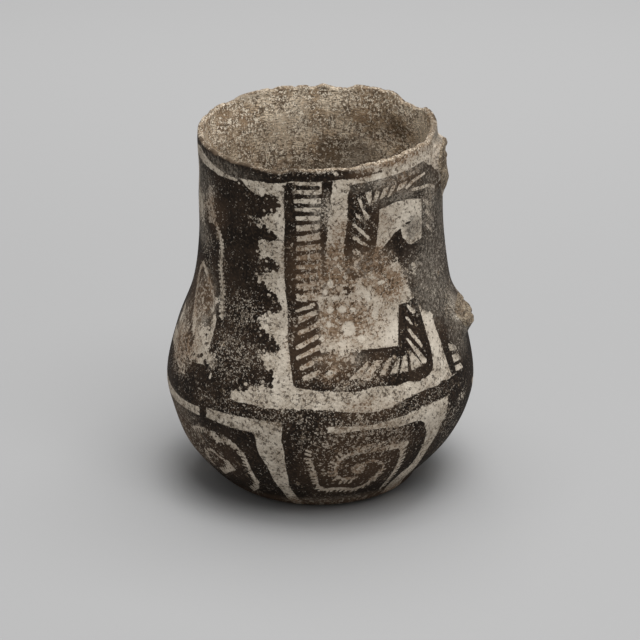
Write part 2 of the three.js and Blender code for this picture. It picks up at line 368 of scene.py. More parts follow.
# Hatched foot of the left panel
fill(DARK, [
    (-105, 106), (-92, 107), (-90, 102), (-90.3, 92), (-90, 84.8), (-70, 84), (-66, 82), (-64.5, 79.5),
    (-60, 79.3), (-53.5, 80.5), (-53, 81), (-52.5, 86), (-51, 90), (-51, 95), (-49.5, 100.5), (-43.5, 103),
    (-42, 95), (-41.5, 90), (-41.3, 85), (-41, 80), (-41.1, 75), (-41.3, 71.5), (-42.5, 68.8), (-45, 67.5),
    (-50, 66.3), (-52.5, 67), (-55, 67.8), (-60, 67), (-63, 67.5), (-67.5, 68.3), (-72, 67.8), (-75, 67),
    (-80, 67.3), (-85, 67.8), (-90, 68), (-95, 68.8), (-99, 69.3), (-100.4, 70.5), (-102, 79.5),
    (-103.25, 85.5), (-104.6, 94),
])
fill(DARK, [(-67, 84.3), (-64, 84.7), (-60, 83.6), (-57.5, 83.1), (-53, 82.3), (-53, 79.6), (-67, 79.4)])
stroke(DARK, [(-90, 84), (-70, 83.8), (-57, 83)], 1.6)
fill(DARK, [(-58, 84), (-57, 86), (-56, 90.5), (-55, 95), (-54, 101), (-49, 101), (-51, 90), (-53, 81)])
fill(BARE, [(-100, 99), (-92.5, 102.2), (-92.5, 100.5), (-100, 96.3)])
for left_end, right_end, width in [
    ((-101, 101.7), (-94, 104.5), 0.8), ((-99.3, 92.3), (-92, 95.9), 1.5), ((-99.7, 86.3), (-92, 91), 1.5),
    ((-99.2, 82), (-91.3, 86.5), 1.4), ((-97.5, 77.8), (-90.8, 82), 1.4),
]:
    stroke(BARE, [left_end, right_end], width)
for sliver in [
    [(-97, 74), (-96.5, 72.6), (-95, 72.9), (-90, 76.2), (-90.8, 77)],
    [(-89.7, 74), (-86, 74), (-83.6, 76.8), (-84.2, 78.5), (-87.5, 75.8)],
    [(-78.7, 73), (-75.5, 73), (-72, 77.5), (-71.5, 79.5), (-75, 76.5)],
    [(-74.7, 72.3), (-71, 71.8), (-70, 74.5), (-65.5, 79), (-68, 79.3), (-72.5, 75)],
    [(-66.8, 72.9), (-65, 72.9), (-61.5, 78.8), (-63.5, 78.8)],
    [(-62.3, 72.8), (-59.5, 72.8), (-57.8, 78.3), (-58.8, 78.3)],
    [(-58, 72.6), (-54.8, 72.5), (-54.5, 79), (-56, 78.8)],
    [(-52.8, 80), (-51.5, 79.5), (-47.5, 73), (-52.8, 72.3)],
    [(-49.3, 100), (-47.8, 98.3), (-45.3, 96.8), (-45.5, 95.5), (-46.8, 95.3), (-48.5, 97.5)],
    [(-51, 94.8), (-50, 94.5), (-48, 90.8), (-48.8, 91)],
    [(-51.3, 89.8), (-50, 89.3), (-45.5, 81.3), (-46, 80.5), (-50, 86.8)],
    [(-52.9, 86), (-51.8, 85), (-44.8, 74.8), (-45.3, 73.3), (-46.8, 73.8), (-51, 82)],
]:
    fill(BARE, sliver)

# Inner meander
fill(DARK, [
    (-70, 162.8), (-74, 161), (-75.5, 158.5), (-76.5, 155), (-77.3, 150), (-77.8, 146), (-78.5, 142),
    (-79, 137.5), (-79.3, 132), (-78.8, 125), (-78, 118), (-76, 115.8), (-74, 115.3), (-71.5, 116),
    (-66, 120), (-64.5, 128.5), (-63.5, 133), (-63, 137), (-62.3, 142), (-61.8, 148.5), (-56, 149.5),
    (-52.5, 150), (-45, 149.3), (-40, 148), (-35.5, 146.5), (-35.4, 130), (-38, 122), (-30, 118), (-22, 124),
    (-18, 140), (-16, 150), (-11, 155.5), (-25, 159), (-30, 158.3), (-74, 162.4), (-74, 162.5),
])
fill(DARK, [(-74, 158), (-74, 162.5), (-30, 162.5), (-25, 159), (-30, 157), (-60, 157)])
for sliver in [
    [(-71.5, 155.5), (-70.5, 155), (-69.8, 150), (-67.5, 146.5), (-67.5, 145), (-69, 146), (-70.8, 151.5)],
    [(-73.5, 148.5), (-72, 147.3), (-70.5, 145), (-71, 144.8), (-73, 147)],
    [
        (-74.8, 137.5), (-73.5, 137), (-70.5, 134), (-68.5, 132.5), (-69.5, 132.3), (-72.5, 134.3),
        (-74.5, 136),
    ],
    [(-75, 130.3), (-73.3, 130), (-70.5, 128), (-68.3, 127.5), (-69, 126.8), (-72, 127.5), (-74.5, 129)],
    [(-67.1, 157.6), (-64.5, 157.5), (-65.3, 154), (-66.5, 151.3), (-67.1, 155.5)],
    [(-62.3, 157.5), (-60.3, 156.8), (-63, 152.8), (-64, 152.5)],
    [(-57.8, 157.5), (-55.3, 157.8), (-57, 155), (-60.8, 153.3)],
    [(-53.3, 157.3), (-51, 157.8), (-54.8, 154), (-56.5, 153.5)],
    [(-48.5, 157.3), (-44, 157.5), (-46.8, 155.8), (-51, 154.8)],
]:
    fill(BARE, sliver)
stroke(BARE, [(-75, 143.8), (-72, 140.5), (-69.5, 138), (-67.5, 135.5)], 1)
stroke(BARE, [(-45, 154.8), (-40, 156.5), (-31, 157)], 0.8)
stroke(BARE, [(-41.5, 152.8), (-36, 151.8), (-30, 151), (-26, 149.5), (-21.5, 147)], 0.9)
for hatch in [
    [(-33.5, 145.5), (-29, 142)], [(-31.5, 139.5), (-24, 132.5)], [(-31, 133), (-26, 128)],
]:
    stroke(BARE, hatch, 1)
fill(DARK, [
    (-66, 120), (-64.5, 126), (-60, 130), (-55, 134), (-53.5, 135.5), (-50, 136.5), (-49, 132), (-46, 128.5),
    (-43, 127), (-35, 128), (-20, 126), (-17, 104), (-26, 92), (-34, 91.5), (-41, 96), (-44, 103), (-47, 108),
    (-48, 116), (-52, 122), (-62, 118),
])
stroke(DARK, [(-46.5, 138), (-44, 138)], 1.2)
fill(BARE, [(-70, 90), (-69, 84.8), (-57.5, 84), (-55, 101), (-58, 99), (-64, 96.5), (-66.5, 94.5)])

# Right of the panels
fill(DARK, [
    (-34.5, 91), (-34.8, 85), (-34.3, 80), (-33.8, 75), (-33, 71), (-32, 66), (-31, 62.5), (-21, 61.5),
    (1, 61.5), (1, 159), (-10, 161), (-18, 158), (-23, 146), (-21, 126), (-20, 112), (-26, 98),
])
for square in [
    [(-29.3, 76.3), (-24.5, 74), (-23.5, 72), (-29.3, 73.3)],
    [(-28.3, 70.8), (-23.5, 69.5), (-22, 66.8), (-27.8, 67.5)],
    [(-27.5, 65.5), (-23, 64.8), (-21.5, 62.5), (-27.3, 63.3)],
]:
    fill(BARE, square)

# Bare clay round the upper root
fill(BARE, [(-25, 168), (-24, 160), (-20, 154), (-17, 146), (-10, 139), (1, 138), (1, 165.5), (-20, 165.5)])
fill(BARE, [(-181, 165.5), (-174, 163), (-170, 156), (-172, 146), (-181, 138)])

# Framing band
fill(DARK, [
    (-181, 60.5), (-165, 59.5), (-160, 58.7), (-154.5, 57.5), (-150, 60), (-125, 60), (-122, 59.5),
    (-115, 59.8), (-110, 59.3), (-105, 58.8), (-100, 59.8), (-90, 59.8), (-85, 59.3), (-80, 58.5),
    (-75, 57.8), (-70, 57.3), (-65, 57.8), (-60, 59.2), (-56, 60.6), (-51, 61.5), (-45, 62.1), (-41, 61.3),
    (-37.5, 62.6), (-34, 61.8), (-31, 62.3), (-15, 61.5), (1, 60.5), (1, 52.5), (-15, 54), (-35, 54.8),
    (-45, 54.6), (-50, 54.1), (-55, 53.3), (-60, 52.7), (-65, 52.2), (-70, 51.5), (-75, 51.5), (-82, 52),
    (-87, 52.3), (-103, 53.4), (-115, 53.2), (-122, 53), (-136, 52.3), (-140.5, 51), (-145.5, 50.3),
    (-155, 50), (-164.5, 50.5), (-181, 52.5),
])
for join in [
    [(-140, 52.5), (-136, 52.5), (-136, 46), (-140, 46)],
    [(-182, 62), (-168, 61), (-160, 60.5), (-150, 59.5), (-150, 55), (-182, 52)],
    [(-20, 63), (2, 63), (2, 51), (-34, 51), (-34, 57), (-20, 58)],
    [(-103.5, 54), (-87, 53), (-87, 48), (-103.5, 48)],
]:
    fill(DARK, join)

# Lower left square and its scroll
fill(DARK, [
    (-178, 45), (-160, 45.6), (-150, 46.3), (-143, 46.6), (-135, 47.6), (-126, 46.8), (-120, 46.6),
    (-114.5, 46.6), (-113.8, 43.1), (-114, 39.1), (-113.3, 35.1), (-111.5, 30.7), (-109.8, 26.2),
    (-108.8, 21.2), (-107.3, 16.2), (-106, 12.2), (-104, 1), (-178, 1),
])
left_scroll = [
    (-148, 37), (-143, 39.6), (-138, 40.3), (-134, 38.1), (-131.5, 36.6), (-128, 39), (-124, 37), (-121, 34),
    (-119.5, 29), (-118.5, 22.7), (-117, 16.7), (-119.5, 11.2), (-125, 7.3),
]
stroke(BARE, left_scroll[:4], 0.8)
stroke(BARE, left_scroll[3:7], 1.7)
stroke(BARE, left_scroll[6:], 0.9)
serrate(left_scroll, 2.2, 2, 0.7, RIGHT)
left_scroll_heart = [
    (-141, 28), (-138, 29), (-134.5, 26.7), (-130, 25), (-128, 21.7), (-130, 20.2), (-134, 17.7),
    (-139, 14.7),
]
stroke(BARE, left_scroll_heart[:4], 0.9)
stroke(BARE, left_scroll_heart[3:], 1.4)
serrate(left_scroll_heart[3:], 2, 2.2, 0.8, RIGHT)
serrate([(-144, 18), (-144.5, 23), (-143, 28)], 2, 2, 0.7, RIGHT)

# Lower right square and its scroll
fill(DARK, [
    (-103.5, 50), (-87, 49.6), (-84, 48.8), (-75, 49.6), (-65, 49), (-60, 48.1), (-52.5, 48.8), (-50, 48.1),
    (-48.3, 46.6), (-47.5, 44.1), (-46, 41.1), (-45.5, 37.1), (-45.4, 25.2), (-46.2, 21), (-48, 17),
    (-48.5, 10), (-48.5, 0.8), (-97.5, 0.8), (-99.5, 8.8), (-100.8, 12.7), (-101.8, 17.2), (-102, 22.7),
    (-102.8, 29.2), (-103.1, 33.1), (-103.3, 39.1), (-104, 44.1),
])
right_scroll = [(-93, 44), (-93, 40), (-93.5, 35.1), (-92.3, 31.2), (-90.8, 26.2), (-90, 22.2), (-89, 17.7)]
stroke(BARE, right_scroll[2:], 0.5)
serrate(right_scroll[1:], 2, 1.9, 0.6, RIGHT)
right_scroll_foot = [
    (-89, 17.7), (-86, 14.7), (-82, 15.2), (-77, 14.7), (-72, 13.2), (-68, 14.2), (-65, 17.2), (-63.5, 21.2),
]
stroke(BARE, right_scroll_foot, 1.4)
serrate(right_scroll_foot, 2.6, 2.2, 0.7, RIGHT)
right_edge = [(-58, 38), (-55.5, 31), (-55, 22), (-53, 8)]
stroke(BARE, right_edge, 0.9)
serrate(right_edge, 2.2, 2, 0.7, LEFT)
inner_scroll = [
    (-55.5, 37.5), (-60, 38), (-65, 39), (-70, 40), (-75, 38.5), (-80, 36.5), (-82.5, 33), (-83.2, 29),
    (-82, 24.5), (-79, 22.3), (-73, 22.2),
]
stroke(BARE, inner_scroll[:5], 3)
stroke(BARE, inner_scroll[4:], 1.1)
serrate(inner_scroll[5:], 2.3, 3.1, 0.8, RIGHT)
serrate([(-57, 39), (-62, 40), (-68, 41)], 2.2, 2.2, 0.7, LEFT)
fill(BARE, [
    (-77, 29.2), (-75.3, 29.6), (-74.6, 31.3), (-73.2, 29.6), (-71.6, 29.2), (-71.2, 26), (-73.2, 24.6),
    (-75.6, 26),
])
stroke(BARE, [(-74, 29), (-72, 31), (-69, 31.9), (-65, 30.2)], 0.8)
stroke(BARE, [(-65, 30.2), (-62.5, 27.2), (-62.5, 23.7), (-64.5, 20.2)], 0.6)
serrate([(-62.5, 25), (-62.5, 22.5), (-64.5, 19.5), (-66, 17)], 1.7, 1.6, 0.6)

# Next square on the right
fill(DARK, [
    (-35, 54.5), (-35, 50), (-35.8, 44.1), (-37.8, 39.1), (-39, 35.1), (-40, 30.2), (-40.5, 26.2),
    (-40, 22.2), (-38, 17.2), (-36, 12.2), (-33, 1), (-8, 1), (-8, 47), (-14, 55),
])


# How far the far side's figures sway round and up, in degrees and millimetres
BACK_SWAY, BACK_SWAY_PITCH, BACK_SWAY_START = 3.5, 21, 0.6
BACK_RISE, BACK_RISE_PITCH = 2.2, 45
TINY = 1e-9
SPOT_FLAT = 0.25


def flat_distance(kind, points, half_width, a, z):
    """Millimetres inside (+) or outside (-) a figure, for places a degrees round and z up."""
    scale = math.radians(1) * float(outline_at(along_at(np.mean([p[1] for p in points])))[0])
    p = np.stack([a * scale, z], -1)
    corners = np.array(points, float) * (scale, 1)
    ends = np.roll(corners, -1, 0) if kind == "fill" else corners[1:]
    starts = corners if kind == "fill" else corners[:-1]
    nearest = np.full(len(a), np.inf)
    within = np.zeros(len(a), bool)
    for start, end in zip(starts, ends):
        edge = end - start
        out = p - start
        share = np.clip(out @ edge / max(edge @ edge, TINY), 0, 1)
        nearest = np.minimum(nearest, np.sum((out - share[:, None] * edge) ** 2, -1))
        if kind == "fill":
            crosses = (start[1] <= p[:, 1]) != (end[1] <= p[:, 1])
            rise = edge[1] if edge[1] else 1
            within ^= crosses & (p[:, 0] < start[0] + (p[:, 1] - start[1]) * edge[0] / rise)
    nearest = np.sqrt(nearest)
    if kind == "fill":
        return np.where(within, nearest, -nearest)
    return half_width - nearest


def paint_at(degrees, height):
    """Signed distance in millimetres to the edge of the paint, positive inside it."""
    turn = np.radians(degrees)
    slide = FIGURE_SLIDE * np.abs(np.sin(turn)) * smoothstep(height, SLIDE_HEIGHT, LIP_HEIGHT)
    behind = np.maximum(np.sin(turn), 0)
    sway = BACK_SWAY * np.sin(height / BACK_SWAY_PITCH + BACK_SWAY_START) * behind
    folded = degrees % 180 - 180 + slide + sway
    height = height + BACK_RISE * np.sin(turn * 3 + height / BACK_RISE_PITCH) * behind
    paint = np.full(len(height), -FAR)
    for sign, kind, points, half_width in figures:
        reach = FAR + half_width
        a_low, a_high = min(p[0] for p in points) - reach, max(p[0] for p in points) + reach
        z_low, z_high = min(p[1] for p in points) - reach, max(p[1] for p in points) + reach
        level = (height > z_low) & (height < z_high)
        for fold in (-180, 0, 180):
            place = folded + fold
            near = np.flatnonzero(level & (place > a_low) & (place < a_high))
            if not len(near):
                continue
            inside = flat_distance(kind, points, half_width, place[near], height[near])
            inside = np.clip(inside, -FAR, FAR)
            if sign == DARK:
                paint[near] = np.maximum(paint[near], inside)
            else:
                paint[near] = np.minimum(paint[near], -np.minimum(inside + BARE_SPREAD, FAR))
    return paint


def blobs(places, degrees, height):
    """Soft spots, each one its middle, its half sizes round and up, and its strength."""
    amount = np.zeros_like(height)
    for at, level, wide, tall, strength in places:
        distance = np.hypot(away_from(degrees, at) / wide, (height - level) / tall)
        amount = np.maximum(amount, strength * (1 - smoothstep(distance, SPOT_FLAT, 1)))
    return amount


# Brown stains; the first spot darkens the whole foot all round, as stain and painted shade
STAINS_AND_FOOT_SHADE = [
    (-90, 0, 600, 10, 1), (-12, 155, 18, 18, 0.6), (-95, 122, 12, 30, 0.9), (-96, 122, 16, 26, 0.9),
    (-82, 122, 18, 22, 1), (-66, 122, 16, 20, 1), (-78, 98, 26, 18, 0.85), (-58, 111, 16, 13, 1),
    (-81, 141, 8, 14, 0.6), (-68, 167, 12, 4, 0.9), (-96, 88, 12, 24, 0.6), (-60, 140, 12, 14, 0.3),
    (-164, 96, 20, 24, 0.75), (-150, 140, 14, 16, 0.8), (-70, 128, 14, 12, 0.8), (-84, 78, 14, 11, 0.9),
    (-70, 76, 12, 10, 0.5), (-72, 58, 16, 9, 0.45), (-160, 28, 24, 26, 0.8), (-138, 28, 24, 22, 0.45),
    (-75, 32, 32, 28, 0.75), (-160, 72, 20, 16, 0.9), (60, 110, 30, 30, 0.7), (120, 90, 25, 35, 0.6),
    (-45, 170, 36, 6, 0.95), (-153, 98, 11, 14, 1), (-45, 158, 20, 8, 0.5),
]
SMOKE = [
    (-12, 152, 20, 20, 0.85), (-8, 164, 12, 12, 0.9), (-42, 135, 10, 9, 0.8), (-30, 108, 18, 30, 0.8),
    (-18, 120, 22, 34, 0.8), (-44, 118, 12, 16, 0.5), (-22, 76, 10, 16, 0.7), (0, 110, 30, 40, 0.9),
    (-170, 90, 16, 40, 0.35), (-165, 150, 18, 14, 0.6), (-170, 30, 16, 24, 0.4),
]
WEAR = [
    (-160, 150, 18, 16, 0.6), (-158, 99, 14, 14, 1), (-155, 118, 12, 14, 0.8), (-158, 64, 20, 10, 1),
    (-124, 144, 7, 4, 0.9), (-120, 123, 6, 4, 0.8), (-128, 98, 20, 13, 1), (-128, 78, 24, 17, 1),
    (-130, 60, 20, 8, 0.6), (-45, 100, 10, 10, 0.5), (-100, 56, 70, 8, 0.75), (-50, 57, 30, 7, 0.85),
    (-75, 45, 40, 30, 1), (-150, 30, 30, 22, 0.7), (-100, 172, 34, 6, 1.2), (165, 150, 30, 30, 1.2),
    (-60, 125, 10, 10, 0.6), (-95, 125, 10, 20, 0.8), (-104, 122, 6, 30, 0.2), (-104, 95, 6, 14, 0.8),
    (-87, 150, 5, 14, 1.4), (-87, 125, 6, 20, 0.7), (-78, 74, 30, 9, 1.2), (-70, 145, 10, 25, 0.8),
    (-28, 110, 20, 30, 1), (-30, 140, 14, 16, 0.7), (-28, 35, 14, 20, 0.6), (30, 120, 30, 50, 0.6),
    (150, 60, 40, 30, 0.5), (100, 40, 50, 30, 0.5), (70, 110, 40, 30, 0.6),
]
# Paint gone thin, so that the slip shows through
THINS = [
    (-145, 165, 34, 5, 0.35), (-50, 161, 34, 5, 0.6), (-27, 142, 12, 22, 0.6), (-48, 153, 26, 7, 0.35),
    (-158, 44, 22, 9, 0.4), (-166, 26, 20, 22, 0.45), (-145, 34, 9, 6, 0.3), (-30, 108, 20, 26, 0.65),
    (-16, 86, 14, 24, 0.65), (-165, 152, 22, 14, 0.4), (-154, 96, 14, 18, 1), (-72, 122, 12, 10, 0.35),
    (-88, 118, 8, 16, 0.4), (-64, 124, 14, 10, 0.3), (-82, 81, 13, 5, 0.8), (-88.5, 97, 4.5, 14, 1),
    (-92, 151, 3.5, 15, 0.6), (-86, 150, 4, 13, 0.45), (-80, 3, 44, 7, 0.7), (-12, 130, 14, 30, 0.5),
    (-170, 80, 14, 14, 0.5), (120, 120, 30, 30, 0.4), (40, 60, 30, 20, 0.4), (-61, 169, 15, 4, 0.9),
    (-26, 168, 16, 7, 0.9), (-42, 169, 16, 6, 0.95), (-165, 125, 16, 10, 0.5),
]
# Edges that crumble instead of staying crisp
FRAYS = [
    (-115, 150, 12, 16, 0.1), (-115, 110, 12, 16, 0.15), (-115, 80, 12, 16, 0.25), (-145, 115, 10, 40, 0.2),
    (-78, 140, 7, 30, 0.7), (-88, 140, 6, 26, 0.6), (-75, 30, 26, 22, 0.3), (-130, 30, 24, 22, 0.4),
    (-160, 80, 20, 24, 1), (-104, 110, 6, 30, 0.4), (65, 100, 20, 60, 1), (165, 150, 34, 34, 1.3),
]
# Slip that stayed smooth and bright
CLEANS = [
    (-50, 143, 18, 13, 0.5), (-84, 152, 7, 18, 0.3), (-108, 145, 6, 26, 0.6), (-107, 112, 5, 24, 0.7),
    (-104, 90, 6, 16, 0.7), (-38, 82, 6, 18, 1), (-106, 70, 10, 7, 0.6), (-46, 48, 8, 10, 0.7),
    (-95, 152, 8, 14, 0.5), (-60, 91, 10, 11, 1), (150, 140, 20, 20, 0.7), (80, 60, 30, 14, 0.6),
]
# Places where paint and slip are mixed: middle, half sizes, strength, and which of them wins
MOTTLES = [
    (-62, 169, 10, 4, 0.8, 0.1), (-40, 170, 14, 3, 0.8, -0.1), (-20, 169, 12, 4, 0.7, 0.1),
    (-160, 120, 12, 7, 0.6, 0.35), (-88, 44, 9, 7, 0.85, 0.15), (-56, 56, 20, 4, 0.4, 0.6),
    (-100, 57, 20, 6, 0.5, 0.5), (-155, 142, 14, 14, 0.9, 0), (-164, 74, 20, 16, 0.9, -0.45),
    (-146, 98, 6, 14, 0.8, 0.25), (-72, 123, 13, 11, 1, 0.1), (-86, 112, 8, 12, 0.85, 0),
    (-60, 123, 14, 8, 1, 0.05), (-46, 116, 10, 14, 0.9, 0.1), (-80, 88, 14, 8, 0.8, -0.35),
    (-75, 102, 20, 14, 0.9, -0.45), (-95, 112, 9, 12, 0.5, -0.1), (-89.5, 98, 3.5, 10, 0.8, -0.7),
    (-82, 110, 16, 11, 0.95, -0.25), (-60, 111, 14, 12, 0.9, -0.2), (-92, 124, 8, 12, 0.45, -0.1),
    (-86, 146, 4.5, 12, 0.5, 0.15), (-84, 80, 13, 6, 0.6, -0.05), (-80, 70, 15, 3.5, 0.7, 0.2),
    (-82, 70.5, 3, 4, 0.8, -0.2), (-123, 141, 5, 3, 0.45, 0.3), (-121, 120, 5, 3, 0.4, 0.3),
    (-128, 101, 12, 10, 0.6, 0.5), (-131, 80, 15, 13, 0.6, 0.5), (-71, 168.5, 11, 6, 0.6, 0.6),
    (-168, 86, 8, 12, 0.7, 0.3), (-158, 67, 18, 4, 0.7, 0.2), (-85, 82.5, 9, 3, 0.9, -0.1),
    (-152, 88, 8, 8, 0.8, 0), (-148, 152, 9, 7, 0.75, 0.05), (-160, 100, 14, 12, 0.3, 0.1),
    (-32, 108, 18, 24, 0.85, 0.3), (-30, 44, 14, 14, 0.85, 0.4), (-68, 39, 16, 5, 0.85, -0.1),
    (-14, 88, 14, 22, 0.8, 0.3), (-152, 34, 12, 9, 0.5, 0.5), (-132, 40, 10, 4, 0.6, -0.1),
    (-165, 130, 12, 12, 0.7, 0.2), (-22, 50, 10, 8, 0.8, 0), (60, 105, 26, 20, 0.9, 0),
    (130, 110, 20, 26, 0.8, 0.1), (95, 45, 26, 12, 0.7, 0.2),
]
# Soot on the inside, and painted shade: darker all round low down and on the far right of the inner wall
INNER_SOOT_AND_SHADE = [
    (168, 141, 34, 14, 0.5), (-160, 146, 24, 10, 0.4), (61, 150, 24, 14, 0.45), (44, 155, 15, 10, 0.75),
    (70, 157, 14, 9, 0.35), (76, 138, 34, 14, 1), (10, 140, 40, 40, 0.2), (105, 116, 60, 34, 1),
    (-90, 26, 600, 116, 0.85), (95, 152, 14, 8, 0.3),
]
# Flakes of slip that stayed white in the stain
SPARED = [
    (-78.5, 94, 4.2, 4.8, 1), (-86.3, 102.5, 2.4, 2.6, 1), (-81, 102.5, 2.6, 2.4, 1), (-81.5, 88, 2.4, 2, 1),
    (-73.5, 89, 2.6, 2.6, 1), (-87, 96, 1.6, 2, 1), (-69, 107, 1.6, 4, 0.8), (-62, 113, 3, 1.6, 0.8),
    (-45.5, 135.5, 3.4, 1.3, 1), (-58, 96, 3, 1.6, 0.7), (-84, 108, 2.6, 1.6, 1), (-86, 115, 1.8, 3.4, 1),
    (-88.3, 111, 1.4, 2, 1), (-66, 99, 2.2, 4.5, 0.9), (-90, 90, 1.6, 1.4, 0.9), (-76.5, 102, 1.8, 1.6, 0.9),
    (-82, 84, 1.8, 1.2, 0.9), (-87, 76, 2.6, 1.9, 0.9),
]
# Where the lip is worn to bare clay
LIP_WEAR = [(-50, 170, 44, 40, 1), (165, 172, 36, 40, 1), (70, 172, 75, 40, 0.6), (-85, 170, 26, 40, 0.6)]
SPOTS = {
    "stain": STAINS_AND_FOOT_SHADE, "smoke": SMOKE, "wear": WEAR, "thin": THINS, "fray": FRAYS, "clean": CLEANS,
    "dusk": INNER_SOOT_AND_SHADE, "spared": SPARED, "bare_lip": LIP_WEAR,
}
# The far side isn't in the picture, so its wear is cast with dice
BACK_DEGREES, BACK_HEIGHTS = (8, 172), (12, 160)
for places, count, most in (
    (STAINS_AND_FOOT_SHADE, 16, 0.9), (WEAR, 26, 1), (THINS, 12, 0.6), (SMOKE, 8, 0.7), (FRAYS, 10, 1),
):
    for _ in range(count):
        places.append(cast(BACK_DEGREES, BACK_HEIGHTS, (8, 20), (7, 20), (0.4, most)))
for _ in range(20):
    MOTTLES.append(cast(BACK_DEGREES, BACK_HEIGHTS, (6, 16), (5, 16), (0.5, 0.9), (-0.3, 0.35)))


def mottled(paint, degrees, height):
    """Draws the paint towards half-lost patches, and says how strongly."""
    share = np.zeros_like(height)
    for *spot, bias in MOTTLES:
        here = blobs([spot], degrees, height)
        paint = lerp(paint, bias, here)
        share = np.maximum(share, here)
    return paint, share


# Meshes
def run(point_at, start, end, row):
    """Profile points about one row apart, from one place along the outline to another."""
    track = point_at(np.linspace(start, end, TRACK_SAMPLES))
    length = np.sum(np.linalg.norm(np.diff(track, axis=0), axis=1))
    return point_at(np.linspace(start, end, max(2, math.ceil(length / row)) + 1))


def lip_arc():
    outer, inner = outline_at(np.array([1.0]))[0], inner_at(np.array([1.0]))[0]
    spoke, centre = (outer - inner) / 2, (outer + inner) / 2
    turns = np.pi * np.arange(1, LIP_STEPS) / LIP_STEPS
    c, s = np.cos(turns), np.sin(turns)
    return np.stack([spoke[0] * c - spoke[1] * s, spoke[0] * s + spoke[1] * c], -1) + centre


def spun(profile, closed, steps):
    """A profile of radius and height, turned about the Z axis: an eighth, doubled three times."""
    bm = bmesh.new()
    verts = [bm.verts.new((x, 0, z)) for x, z in profile]
    pairs = list(zip(verts, verts[1:])) + ([(verts[-1], verts[0])] if closed else [])
    edges = [bm.edges.new(pair) for pair in pairs]
    bmesh.ops.spin(
        bm, geom=verts + edges, cent=(0, 0, 0), axis=(0, 0, 1), dvec=(0, 0, 0), angle=math.pi / 4,
        steps=steps // 8, use_merge=False, use_normal_flip=False, use_duplicate=False,
    )
    for turn in (math.pi / 4, math.pi / 2, math.pi):
        copied = bmesh.ops.duplicate(bm, geom=bm.verts[:] + bm.edges[:] + bm.faces[:])["geom"]
        corners = [part for part in copied if isinstance(part, bmesh.types.BMVert)]
        bmesh.ops.rotate(bm, cent=(0, 0, 0), matrix=Matrix.Rotation(turn, 3, "Z"), verts=corners)
    bmesh.ops.remove_doubles(bm, verts=bm.verts, dist=WELD)
    bmesh.ops.recalc_face_normals(bm, faces=bm.faces)
    for face in bm.faces:
        face.smooth = True
    return bm


def finish_piece(bm, name, node, material, move, masks, sharp_corners=()):
    """Makes the mesh, sets its masks, moves it to its place in metres and hands it over."""
    mesh = bpy.data.meshes.new(name)
    bm.to_mesh(mesh)
    bm.free()
    flat = np.zeros(len(mesh.vertices) * 3)
    mesh.vertices.foreach_get("co", flat)
    ideal = flat.reshape(-1, 3)
    for key, values in masks(ideal).items():
        mesh.attributes.new(key, "FLOAT", "POINT").data.foreach_set("value", values.astype(np.float32))
    if len(sharp_corners):
        place = np.stack([np.hypot(ideal[:, 0], ideal[:, 1]), ideal[:, 2]], -1)
        on_corner = np.any([np.linalg.norm(place - c, axis=1) < WELD for c in sharp_corners], axis=0)
        pairs = np.zeros(len(mesh.edges) * 2, int)
        mesh.edges.foreach_get("vertices", pairs)
        pairs = pairs.reshape(-1, 2)
        level = np.abs(place[pairs[:, 0]] - place[pairs[:, 1]]).sum(1) < WELD
        sharp = on_corner[pairs].all(1) & level
        mesh.attributes.new("sharp_edge", "BOOLEAN", "EDGE").data.foreach_set("value", sharp)
    mesh.vertices.foreach_set("co", (move(ideal) * METRE).ravel())
    mesh.update()
    mesh.materials.append(material)
    piece = bpy.data.objects.new(name, mesh)
    bpy.context.scene.collection.objects.link(piece)
    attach(piece, "root")
    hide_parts(node)


# Shader maths
class Value:
    """A shader socket. Sums on values add Math nodes."""

    def __init__(self, finish, socket):
        self.finish, self.socket = finish, socket

    def math(self, operation, first, second):
        node = self.finish.node("ShaderNodeMath", {"operation": operation}, {0: first, 1: second})
        return Value(self.finish, node.outputs[0])

    def __add__(self, other):
        return self.math("ADD", self, other)

    def __sub__(self, other):
        return self.math("SUBTRACT", self, other)

    def __rsub__(self, other):
        return self.math("SUBTRACT", other, self)

    def __mul__(self, other):
        return self.math("MULTIPLY", self, other)

    __radd__ = __add__
    __rmul__ = __mul__

    def step(self, low, high):
        """0 below low and 1 above high, with a soft rise between them."""
        node = self.finish.node(
            "ShaderNodeMapRange",
            {"interpolation_type": "SMOOTHSTEP"},
            {"Value": self, "From Min": low, "From Max": high},
        )
        return Value(self.finish, node.outputs["Result"])


